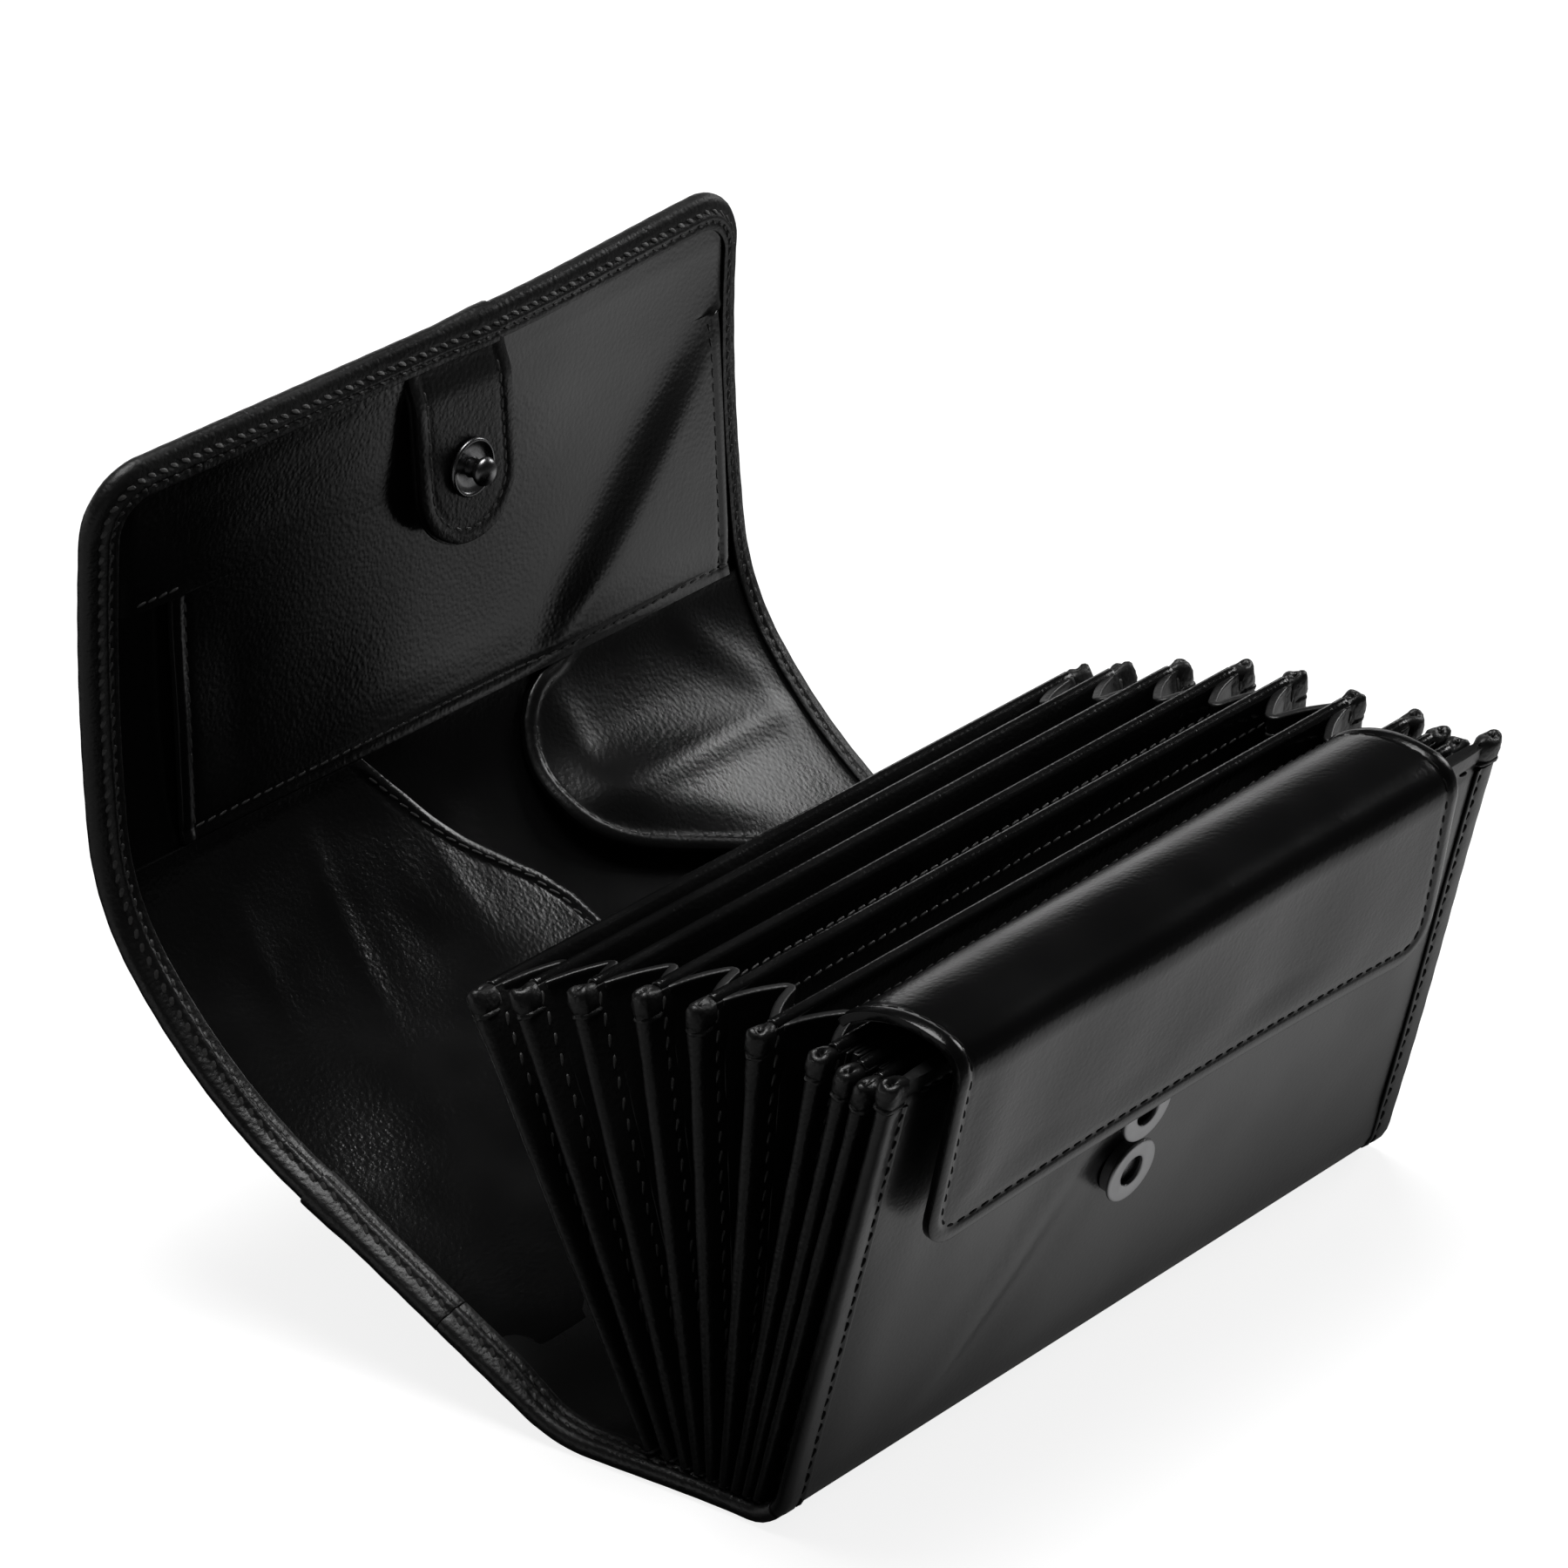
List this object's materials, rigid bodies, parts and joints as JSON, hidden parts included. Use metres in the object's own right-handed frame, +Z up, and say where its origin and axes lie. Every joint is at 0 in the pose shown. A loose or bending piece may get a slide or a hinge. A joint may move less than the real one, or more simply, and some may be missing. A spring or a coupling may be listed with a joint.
{
  "type": "waiters wallet",
  "caption": "Black leather waiter's wallet standing open, with a fan of bound compartments, a coin flap, snap sockets and a wrap-over cover with pockets and stud.",
  "frame": {"origin": "on the floor under the middle of the whole opened wallet", "axes": "+X along the wallet to its right end as seen from the coin flap side, +Y towards the opened cover, +Z up"},
  "size_m": [0.186, 0.193, 0.1605],
  "materials": {
    "cover_leather": "glazed",
    "inner_leather": "smooth",
    "binding_leather": "satin",
    "gusset_leather": "matt",
    "lining_cloth": "twill",
    "snap_metal": "black nickel",
    "spring_steel": "bare"
  },
  "bodies": {
    "front_section": {"cover_front": "cover_leather", "divider_7": "inner_leather", "divider_8": "inner_leather", "divider_9": "inner_leather", "binding_left_7": "binding_leather", "binding_right_7": "binding_leather", "binding_left_8": "binding_leather", "binding_right_8": "binding_leather", "binding_left_9": "binding_leather", "binding_right_9": "binding_leather", "gusset_left_7": "gusset_leather", "gusset_right_7": "gusset_leather", "gusset_left_8": "gusset_leather", "gusset_right_8": "gusset_leather", "socket_lower": "snap_metal", "socket_post_lower": "snap_metal", "socket_spring_lower": "spring_steel", "socket_upper": "snap_metal", "socket_post_upper": "snap_metal", "socket_spring_upper": "spring_steel"},
    "compartment_wall_1": {"divider_1": "inner_leather", "binding_left_1": "binding_leather", "binding_right_1": "binding_leather", "gusset_left_1": "gusset_leather", "gusset_right_1": "gusset_leather"},
    "compartment_wall_2": {"divider_2": "inner_leather", "binding_left_2": "binding_leather", "binding_right_2": "binding_leather", "gusset_left_2": "gusset_leather", "gusset_right_2": "gusset_leather"},
    "compartment_wall_3": {"divider_3": "inner_leather", "binding_left_3": "binding_leather", "binding_right_3": "binding_leather", "gusset_left_3": "gusset_leather", "gusset_right_3": "gusset_leather"},
    "compartment_wall_4": {"divider_4": "inner_leather", "binding_left_4": "binding_leather", "binding_right_4": "binding_leather", "gusset_left_4": "gusset_leather", "gusset_right_4": "gusset_leather"},
    "compartment_wall_5": {"divider_5": "inner_leather", "binding_left_5": "binding_leather", "binding_right_5": "binding_leather", "gusset_left_5": "gusset_leather", "gusset_right_5": "gusset_leather"},
    "compartment_wall_6": {"divider_6": "inner_leather", "binding_left_6": "binding_leather", "binding_right_6": "binding_leather", "gusset_left_6": "gusset_leather", "gusset_right_6": "gusset_leather"},
    "cover_back": {"cover_back": "cover_leather", "left_pocket": "inner_leather", "right_pocket": "inner_leather"},
    "cover_flap": {"cover_flap": "cover_leather", "document_pocket": "inner_leather", "stud_tab": "inner_leather", "stud": "snap_metal", "stud_post": "snap_metal"},
    "coin_flap": {"coin_flap": "cover_leather", "coin_flap_lining": "lining_cloth"}
  },
  "joints": [
    {"name": "cover_fold", "type": "hinge", "parent": "front_section", "child": "cover_back", "pos_m": [0, -0.0174, 0.0012], "axis": [1, 0, 0], "range_deg": [-23, 58]},
    {"name": "cover_flap_fold", "type": "hinge", "parent": "cover_back", "child": "cover_flap", "pos_m": [0, 0.09293, 0.07689], "axis": [1, 0, 0], "range_deg": [-60, 10]},
    {"name": "coin_flap_lift", "type": "hinge", "parent": "front_section", "child": "coin_flap", "pos_m": [0, -0.07114, 0.09852], "axis": [-1, 0, 0], "range_deg": [0, 150]},
    {"name": "compartment_spread_1", "type": "hinge", "parent": "front_section", "child": "compartment_wall_1", "pos_m": [0, -0.0359, 0.0034], "axis": [1, 0, 0], "range_deg": [-12.31, 30.9], "deforming": ["gusset_left_1", "gusset_right_1"]},
    {"name": "compartment_spread_2", "type": "hinge", "parent": "front_section", "child": "compartment_wall_2", "pos_m": [0, -0.0405, 0.00333], "axis": [1, 0, 0], "range_deg": [-11.44, 28.7], "deforming": ["gusset_left_2", "gusset_right_2"]},
    {"name": "compartment_spread_3", "type": "hinge", "parent": "front_section", "child": "compartment_wall_3", "pos_m": [0, -0.0443, 0.00322], "axis": [1, 0, 0], "range_deg": [-9.18, 23], "deforming": ["gusset_left_3", "gusset_right_3"]},
    {"name": "compartment_spread_4", "type": "hinge", "parent": "front_section", "child": "compartment_wall_4", "pos_m": [0, -0.0472, 0.00308], "axis": [1, 0, 0], "range_deg": [-6.45, 16.1], "deforming": ["gusset_left_4", "gusset_right_4"]},
    {"name": "compartment_spread_5", "type": "hinge", "parent": "front_section", "child": "compartment_wall_5", "pos_m": [0, -0.0501, 0.00298], "axis": [1, 0, 0], "range_deg": [-4.58, 11.4], "deforming": ["gusset_left_5", "gusset_right_5"]},
    {"name": "compartment_spread_6", "type": "hinge", "parent": "front_section", "child": "compartment_wall_6", "pos_m": [0, -0.053, 0.003], "axis": [1, 0, 0], "range_deg": [-2.4, 5.9], "deforming": ["gusset_left_6", "gusset_right_6"]}
  ],
  "couplings": [
    {"joint": "compartment_spread_1", "follows": "cover_fold", "ratio": 0.531},
    {"joint": "compartment_spread_2", "follows": "cover_fold", "ratio": 0.4931},
    {"joint": "compartment_spread_3", "follows": "cover_fold", "ratio": 0.3948},
    {"joint": "compartment_spread_4", "follows": "cover_fold", "ratio": 0.2759},
    {"joint": "compartment_spread_5", "follows": "cover_fold", "ratio": 0.1948},
    {"joint": "compartment_spread_6", "follows": "cover_fold", "ratio": 0.1}
  ]
}
